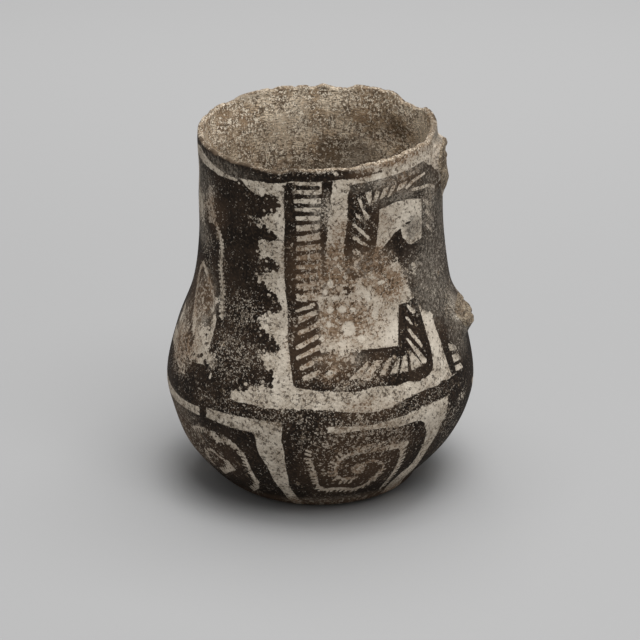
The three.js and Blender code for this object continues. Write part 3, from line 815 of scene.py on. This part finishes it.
class Finish:
    """A material under construction."""

    def __init__(self, name):
        self.material = bpy.data.materials.new(name)
        self.material.use_nodes = True
        self.tree = self.material.node_tree
        self.tree.nodes.clear()
        self.place = self.node("ShaderNodeTexCoord").outputs["Object"]

    def node(self, kind, settings=None, inputs=None):
        made = self.tree.nodes.new(kind)
        for key, value in (settings or {}).items():
            setattr(made, key, value)
        for key, value in (inputs or {}).items():
            if isinstance(value, Value):
                value = value.socket
            if isinstance(value, bpy.types.NodeSocket):
                self.tree.links.new(value, made.inputs[key])
            else:
                made.inputs[key].default_value = value
        return made

    def noise(self, size, detail=3, rough=0.55, stretch=(1, 1, 1)):
        """Noise whose grains are about size millimetres wide."""
        place = self.node("ShaderNodeMapping", {}, {"Vector": self.place, "Scale": stretch}).outputs[0]
        made = self.node(
            "ShaderNodeTexNoise", {},
            {"Vector": place, "Scale": 1 / METRE / size, "Detail": detail, "Roughness": rough},
        )
        return Value(self, made.outputs[0])

    def cracks(self, size, wander):
        """Distance to the nearest of the cracks between cells about size millimetres wide."""
        scale = 1 / METRE / size
        drift = self.node("ShaderNodeTexNoise", {}, {"Vector": self.place, "Scale": scale, "Detail": 2})
        shift = self.node(
            "ShaderNodeVectorMath", {"operation": "SCALE"},
            {0: drift.outputs["Color"], "Scale": wander * METRE},
        ).outputs[0]
        place = self.node("ShaderNodeVectorMath", {"operation": "ADD"}, {0: self.place, 1: shift}).outputs[0]
        made = self.node(
            "ShaderNodeTexVoronoi", {"feature": "DISTANCE_TO_EDGE"}, {"Vector": place, "Scale": scale},
        )
        return Value(self, made.outputs["Distance"])

    def mask(self, name):
        return Value(self, self.node("ShaderNodeAttribute", {"attribute_name": name}).outputs["Fac"])

    def layers(self, colour, *coats):
        """A colour under coats of other colours, each with the share that it covers."""
        for share, coat in coats:
            under, over = ((*c, 1) if isinstance(c, tuple) else c for c in (colour, coat))
            made = self.node("ShaderNodeMix", {"data_type": "RGBA"}, {0: share, 6: under, 7: over})
            colour = made.outputs[2]
        return colour

    def surface(self, colour, roughness, bumps, specular):
        """The finished material. Each bump has its height and its depth in millimetres."""
        normal = None
        for height, depth in bumps:
            inputs = {"Height": height, "Strength": 1.0, "Distance": depth * METRE}
            if normal:
                inputs["Normal"] = normal
            normal = self.node("ShaderNodeBump", {}, inputs).outputs[0]
        shader = self.node(
            "ShaderNodeBsdfPrincipled", {},
            {"Base Color": colour, "Roughness": roughness, "Normal": normal, "Specular IOR Level": specular},
        )
        self.node("ShaderNodeOutputMaterial", {}, {"Surface": shader.outputs[0]})
        return self.material


MASKS = "paint wear stain smoke inside lip dusk mottle thin fray clean bare_lip spared".split()


def painted_wall(name, broken=False):
    """The finish of the clay. Each coat has the share that it covers, and its red, green and blue."""
    f = Finish(name)
    paint, wear, stain, smoke, inside, lip, dusk, mottle, thin, fray, clean, bare_lip, spared = (
        f.mask(key) for key in MASKS
    )
    cloud, patch, ragged = f.noise(15, 4, 0.6), f.noise(5.5, 4, 0.62), f.noise(2.8, 5, 0.7)
    grain, fleck, crumb = f.noise(1.15, 3, 0.6), f.noise(1.5, 2, 0.6), f.noise(0.62, 1, 0.5)
    patch_swing, ragged_swing, grain_swing = patch - 0.5, ragged - 0.5, grain - 0.5

    # Slip: mottled, gritty and pitted, smooth where it stayed clean
    gritty = 1 - clean * 0.7
    crackle = (1 - f.cracks(2.4, 0.9).step(0, 0.07)) * (patch * 0.6 + fleck * 0.4).step(0.42, 0.55)
    pits = (fleck + patch * 0.3 - clean * 0.04).step(0.72, 0.745)
    slip = f.layers(
        (0.7, 0.62, 0.51),
        (patch.step(0.36, 0.6), (0.51, 0.435, 0.343)),
        (clean * 0.8, (0.77, 0.69, 0.58)),
        (cloud.step(0.45, 0.7) * 0.35, (0.36, 0.295, 0.225)),
        (grain.step(0.5, 0.58) * 0.35 * gritty, (0.26, 0.205, 0.15)),
        (crackle * (0.75 - clean * 0.3), (0.15, 0.115, 0.08)),
        (pits * 0.75, (0.055, 0.038, 0.025)),
        (crumb.step(0.6, 0.64) * 0.5 * gritty, (0.84, 0.77, 0.66)),
    )

    # Stains, the flakes that they spared, and smoke; the stain mask also holds painted shade at the foot
    stain_and_shade_cover = stain.step(0.1, 0.5)
    brown = (stain * 0.95 + ragged_swing * 1.3 + grain_swing * 2.6 + patch_swing).step(0.46, 0.7)
    grit = (grain * 0.6 + fleck * 0.4 + stain * 0.06).step(0.585, 0.605) * stain_and_shade_cover
    flakes = (fleck * 0.35 + ragged * 0.5 + crumb * 0.15).step(0.525, 0.54) * stain_and_shade_cover
    kept = (spared + ragged_swing * 3.4 + grain_swing * 2).step(0.5, 0.58) * spared.step(0, 0.1)
    grey = (smoke * (0.1 + ragged * 1.5)).step(0.1, 0.9)
    slip = f.layers(
        slip,
        # Brown stain, and painted shade over the foot
        (stain * (0.45 + patch * 0.6), (0.32, 0.232, 0.16)),
        (brown * stain.step(0, 0.2) * (0.3 + patch * 0.7), (0.19, 0.112, 0.058)),
        (grit * 0.7, (0.05, 0.032, 0.02)),
        (flakes * 0.75, (0.66, 0.57, 0.46)),
        (kept * 0.8, (0.66, 0.575, 0.47)),
        (grey * 0.6, (0.1, 0.084, 0.066)),
    )

    # Paint: crisp or crumbled edges, rubbed, thinned and pinholed
    crumbled = ragged_swing * (1.1 + fray * 3.4 + mottle * 6) + grain_swing * (0.8 + fray * 2 + mottle * 5)
    edge = paint + crumbled + patch_swing * mottle * 3.5
    rubbed = (crumb * 0.25 + fleck * 0.35 + grain * 0.2 + patch * 0.2 + wear * 0.065).step(0.576, 0.59)
    washed = thin * (0.2 + (ragged * 0.3 + grain * 0.4 + fleck * 0.3).step(0.47, 0.52) * 0.8)
    cover = edge.step(-0.15, 0.15) * (1 - rubbed * 0.75) * (1 - washed) * (1 - kept)
    dark = f.layers(
        (0.012, 0.0078, 0.005),
        (cloud.step(0.42, 0.68), (0.033, 0.021, 0.0133)),
        (grain.step(0.5, 0.58) * (0.3 + wear * 0.35), (0.085, 0.055, 0.034)),
        (stain * (0.35 + patch * 0.6), (0.096, 0.057, 0.032)),
        (grey * 0.4, (0.075, 0.06, 0.046)),
    )
    sooty = smoke.step(0.2, 0.7)
    soot_grit = (ragged * 0.5 + grain * 0.5).step(0.51, 0.53) * sooty
    ash_flecks = (grain * 0.6 + fleck * 0.4).step(0.545, 0.565) * sooty
    outside = f.layers(
        slip,
        (cover, dark),
        (soot_grit * 0.6, (0.042, 0.032, 0.024)),
        (ash_flecks * (0.25 + patch.step(0.42, 0.6) * 0.6), (0.44, 0.385, 0.32)),
    )

    # Inside: warm tan, scraped round, with soot and painted shade in places
    scratch, zones = f.noise(1.7, 3, 0.65, stretch=(1, 1, 4)), f.noise(26, 2, 0.5)
    # Dark inner wall: painted shade low down and on the far right, with some soot
    soot_and_shade = (dusk * 1.15 + ragged_swing * 2 + patch_swing * 1.6).step(0.3, 0.9)
    light_flecks = (fleck * 0.5 + crumb * 0.3 + patch * 0.2).step(0.54, 0.55)
    tan = f.layers(
        (0.9, 0.76, 0.58),
        (cloud.step(0.44, 0.57), (0.52, 0.39, 0.26)),
        (patch.step(0.44, 0.58) * 0.65, (0.36, 0.285, 0.21)),
        (scratch.step(0.5, 0.53) * 0.85, (0.15, 0.107, 0.069)),
        (zones.step(0.5, 0.62) * 0.5, (0.3, 0.2, 0.12)),
        (zones.step(0.5, 0.38) * 0.35, (0.95, 0.83, 0.66)),
        # Painted shade and soot on the inner wall
        (soot_and_shade * 0.65, (0.055, 0.037, 0.024)),
        ((grain * 0.6 + patch * 0.4).step(0.53, 0.545) * 0.7, (0.095, 0.066, 0.042)),
        (pits * 0.7, (0.06, 0.04, 0.025)),
        (light_flecks * (1 - dusk * 0.5), (0.95, 0.84, 0.68)),
    )

    # Lip: rubbed down to the paste here and there
    bared = (lip * 0.3 + bare_lip * lip * 0.55 + ragged_swing * 1.8 + patch_swing * 2.4).step(0.4, 0.6)
    paste = f.layers(
        (0.5, 0.415, 0.315),
        (patch.step(0.4, 0.6), (0.26, 0.195, 0.134)),
        (grain.step(0.46, 0.58) * 0.7, (0.13, 0.094, 0.06)),
        ((ragged * 0.55 + fleck * 0.45).step(0.51, 0.54) * 0.7, (0.09, 0.063, 0.04)),
        (crumb.step(0.58, 0.62) * 0.7, (0.8, 0.71, 0.58)),
    )
    grimed = lip * (1 - bare_lip) * 0.75
    colour = f.layers(outside, (inside, tan), (grimed, (0.105, 0.074, 0.047)), (bared, paste))

    roughness = 0.8 + patch * 0.15 - cover * 0.06
    scraped = f.noise(2.4, 3, 0.6, stretch=(1, 1, 3.2))
    bumps = [
        (f.noise(3.2, 3, 0.5), 0.4),
        (scraped * (0.4 + inside * 0.6), 0.3),
        (grain - rubbed * 0.25 - pits * 0.4, 0.28),
    ]
    if broken:
        # The snapped face of the handle: coarse paste with grit
        snapped = (f.mask("broken") + ragged_swing * 0.9).step(0.42, 0.55)
        face = f.layers(
            (0.34, 0.278, 0.198),
            (patch.step(0.36, 0.62), (0.2, 0.148, 0.1)),
            (grain.step(0.45, 0.57) * 0.75, (0.125, 0.09, 0.058)),
            (fleck.step(0.55, 0.58) * 0.8, (0.05, 0.035, 0.023)),
            (crumb.step(0.61, 0.65) * 0.55, (0.6, 0.54, 0.44)),
        )
        colour = f.layers(colour, (snapped, face))
        bumps.append((ragged * snapped, 1.0))
    return f.surface(colour, roughness, bumps, specular=0.15)


wall_finish = painted_wall("slipped_and_painted_clay")
root_finish = painted_wall("broken_handle_root", broken=True)

# The rings of the pot
INSIDE_DEPTHS = (1.2, 3.2)
CREST_RADII = (51.4, 52.8)
CREST_BELOW_LIP = 0.5
LIP_HEIGHTS = (LIP_HEIGHT - 0.4, LIP_HEIGHT + 1.2)
PAINT_TOP = LIP_HEIGHT + 1.5
PAINTED_UP_TO = 0.9
SPARED_EDGE = (0.3, 0.6)
BASE_INNER_ROW = INNER_ROW * 1.6


def wall_masks(ideal):
    """Masks of a ring: what is painted, rubbed, stained and smoked, where shade is painted, and what lies
    inside.
    """
    degrees = np.degrees(np.arctan2(ideal[:, 1], ideal[:, 0]))
    radius, height = np.hypot(ideal[:, 0], ideal[:, 1]), ideal[:, 2]
    wall = outline_at(along_at(np.clip(height, 0, LIP_HEIGHT)))
    depth = np.where(height > LIP_HEIGHT, 0, wall[:, 0] - radius)
    inside = smoothstep(depth, *INSIDE_DEPTHS)
    crest = smoothstep(radius, *CREST_RADII)
    inside = np.where(height > LIP_HEIGHT - CREST_BELOW_LIP, 1 - crest, inside)
    inside = np.where(height < HEEL_HEIGHT, 0, inside)
    level = np.minimum(height, PAINT_TOP)
    paint = np.where(inside < PAINTED_UP_TO, 0.0, -FAR)
    outer = np.flatnonzero(inside < PAINTED_UP_TO)
    paint[outer] = paint_at(degrees[outer], level[outer])
    paint, mottle = mottled(paint, degrees, level)
    masks = {key: blobs(places, degrees, height) for key, places in SPOTS.items()}
    open_slip = 1 - smoothstep(masks["spared"], *SPARED_EDGE)
    masks["stain"] = masks["stain"] * open_slip
    lip = smoothstep(height, *LIP_HEIGHTS)
    return masks | {"paint": paint, "mottle": mottle * open_slip, "inside": inside, "lip": lip}


def ring(node, name, profile, corners):
    bm = spun(profile, profile[0][0] > WELD, STEPS_ROUND)
    finish_piece(bm, name, node, wall_finish, hand_built, wall_masks, corners)


def flat_run(start, end, height, steps):
    return np.stack([np.linspace(start, end, steps + 1), np.full(steps + 1, height)], -1)


def seam_corners(outer, inner):
    return [outline_at(np.array([outer]))[0], inner_at(np.array([inner]))[0]]


walls_top = LIP_HEIGHT - RIM_COIL_HEIGHT
seam_heights = [lerp(BASE_TOP_HEIGHT, walls_top, i / WALL_COILS) for i in range(WALL_COILS + 1)]
seams = [(float(along_at(h)), float(along_at(h - SEAM_LAP))) for h in seam_heights]
outer_end, inner_end = seams[0]
base_profile = np.concatenate([
    flat_run(0, OUTLINE[0][0], 0, UNDER_STEPS)[:-1],
    run(outline_at, 0, outer_end, BASE_ROW),
    run(inner_at, inner_end, 0, BASE_INNER_ROW),
    flat_run(inner_at(np.array([0.0]))[0][0], 0, FLOOR_THICKNESS, FLOOR_STEPS)[1:],
])
ring("base_bowl", "dished_base", base_profile, seam_corners(*seams[0]))
for i, (low, high) in enumerate(zip(seams, seams[1:]), 1):
    coil_profile = np.concatenate([
        run(outline_at, low[0], high[0], OUTER_ROW), run(inner_at, high[1], low[1], INNER_ROW),
    ])
    ring(f"wall_coil_{i:02d}", f"painted_coil_{i:02d}", coil_profile,
         seam_corners(*low) + seam_corners(*high))
outer_end, inner_end = seams[-1]
rim_profile = np.concatenate([
    run(outline_at, outer_end, 1, OUTER_ROW), lip_arc(), run(inner_at, 1, inner_end, INNER_ROW),
])
ring("rim_coil", "worn_rim", rim_profile, seam_corners(*seams[-1]))

# Roots of the lost handle
CRUMBS = [cast((-1, 1), (-1, 1), (0.08, 0.3), (-0.7, 0.7)) for _ in range(70)]
CRUMB_SHARE = 0.8
FACE_WAVES = 0.5
BREAK_STARTS = 0.6
BREAK_MIDDLE_SHARE = 0.1
# Waves round the root's outline: how many, where they start and how deep
ROOT_WAVES = [(3, 1, 0.05), (7, 0, 0.035)]


def root_piece(node, name, root):
    bed = [(x, 0) for x in np.linspace(0, 1, BED_STEPS + 1)]
    flank = [(1, z) for z in np.linspace(0, 1, FLANK_STEPS + 1)[1:]]
    face = [(x, 1) for x in np.linspace(1, 0, FACE_STEPS + 1)[1:]]
    bm = spun(bed + flank + face, False, ROOT_STEPS_ROUND)

    def parts(ideal):
        return np.hypot(ideal[:, 0], ideal[:, 1]), np.arctan2(ideal[:, 1], ideal[:, 0]), ideal[:, 2]

    def spot_on_wall(ideal):
        inward, turn, rise = parts(ideal)
        across, up = inward * np.cos(turn), inward * np.sin(turn)
        width = lerp(root["width"], root["face_width"], rise) * inward
        tall = lerp(root["tall"], root["face_tall"], rise) * inward
        rough = np.zeros_like(inward)
        for u, v, reach, amount in CRUMBS:
            rough += amount * np.exp(-((across - u) ** 2 + (up - v) ** 2) / reach**2)
        wobble = np.ones_like(turn)
        for waves, start, depth in ROOT_WAVES:
            wobble += depth * np.sin(waves * turn + start)
        height = root["height"] + root["face_rise"] * rise + tall / 2 * np.sin(turn) * wobble
        out = root["stands_out"] * (1 + root["slant"] * inward * np.sin(turn))
        out = out + FACE_WAVES * np.sin(5 * turn + 4 * inward) * inward
        out = (out + rough * CRUMB_SHARE) * rise**FLANK_HOLLOW
        along = along_at(height)
        spot = outline_at(along) + outward_at(along) * out[:, None]
        angle = math.radians(HANDLE_ANGLE) + width / 2 * np.cos(turn) * wobble / spot[:, 0]
        return np.stack([spot[:, 0] * np.cos(angle), spot[:, 0] * np.sin(angle), spot[:, 1]], -1)

    def place(ideal):
        return hand_built(spot_on_wall(ideal))

    def masks(ideal):
        inward, _, rise = parts(ideal)
        broken = smoothstep(rise, BREAK_STARTS, 1) * (1 - BREAK_MIDDLE_SHARE)
        broken += BREAK_MIDDLE_SHARE * (1 - inward)
        none = np.zeros_like(rise)
        return wall_masks(spot_on_wall(ideal)) | {"inside": none, "lip": none, "broken": broken}

    finish_piece(bm, name, node, root_finish, place, masks)


root_piece("handle_root_upper", "upper_handle_scar", UPPER_ROOT)
root_piece("handle_root_lower", "lower_handle_scar", LOWER_ROOT)

# Floor, lights and camera, in metres, with the lens in millimetres
FLOOR_HALF = 6.0
ELEVATION = 21
DISTANCE = 1.2
LENS = 145.16
AIM = (0.0007, 0, 0.0756)


def add_to_scene(name, data):
    made = bpy.data.objects.new(name, data)
    bpy.context.scene.collection.objects.link(made)
    return made


# The floor is painted lighter towards the back: painted light that evens out the fall of the lamps' light
floor_finish = Finish("studio_floor")
floor_split = floor_finish.node("ShaderNodeSeparateXYZ", {}, {"Vector": floor_finish.place})
floor_back_painted_light = Value(floor_finish, floor_split.outputs["Y"]).step(0.1, 1.0)
floor_tone = floor_finish.layers(
    (0.368, 0.368, 0.37),
    (floor_back_painted_light, (0.465, 0.465, 0.467)),
    (floor_finish.noise(900, 2, 0.5) * 0.08, (0.3, 0.3, 0.3)),
)
floor_bumps = [(floor_finish.noise(2.0), 0.02)]
bm = bmesh.new()
bmesh.ops.create_grid(bm, x_segments=24, y_segments=24, size=FLOOR_HALF)
floor_mesh = bpy.data.meshes.new("studio_floor")
bm.to_mesh(floor_mesh)
bm.free()
floor_mesh.materials.append(floor_finish.surface(floor_tone, 0.9, floor_bumps, specular=0.1))
floor = add_to_scene("studio_floor", floor_mesh)


def soft_light(name, place, aim, size, power):
    lamp = bpy.data.lights.new(name, "AREA")
    lamp.shape = "SQUARE"
    lamp.size, lamp.energy = size, power
    holder = add_to_scene(name, lamp)
    holder.location = place
    x, y, z = np.array(aim) - np.array(place)
    holder.rotation_euler = (math.atan2(math.hypot(x, y), -z), 0, math.atan2(y, x) - math.pi / 2)


soft_light("overhead_softbox", (0.12, 0.3, 2.0), (0, 0, 0.05), 1.6, 35)
soft_light("right_softbox", (0.4, -0.8, 1.99), (0, 0, 0.08), 1.4, 27)

SKY_COLOUR, SKY_STRENGTH = (1, 0.995, 0.985, 1), 0.28
world = bpy.data.worlds.new("studio")
world.use_nodes = True
sky = world.node_tree.nodes["Background"].inputs
sky["Color"].default_value = SKY_COLOUR
sky["Strength"].default_value = SKY_STRENGTH
bpy.context.scene.world = world

camera_data = bpy.data.cameras.new("camera")
camera_data.lens = LENS
camera = add_to_scene("camera", camera_data)
tilt = math.radians(ELEVATION)
camera.location = (AIM[0], AIM[1] - DISTANCE * math.cos(tilt), AIM[2] + DISTANCE * math.sin(tilt))
camera.rotation_euler = (math.pi / 2 - tilt, 0, 0)
bpy.context.scene.camera = camera
bpy.context.scene.view_settings.view_transform = "Standard"
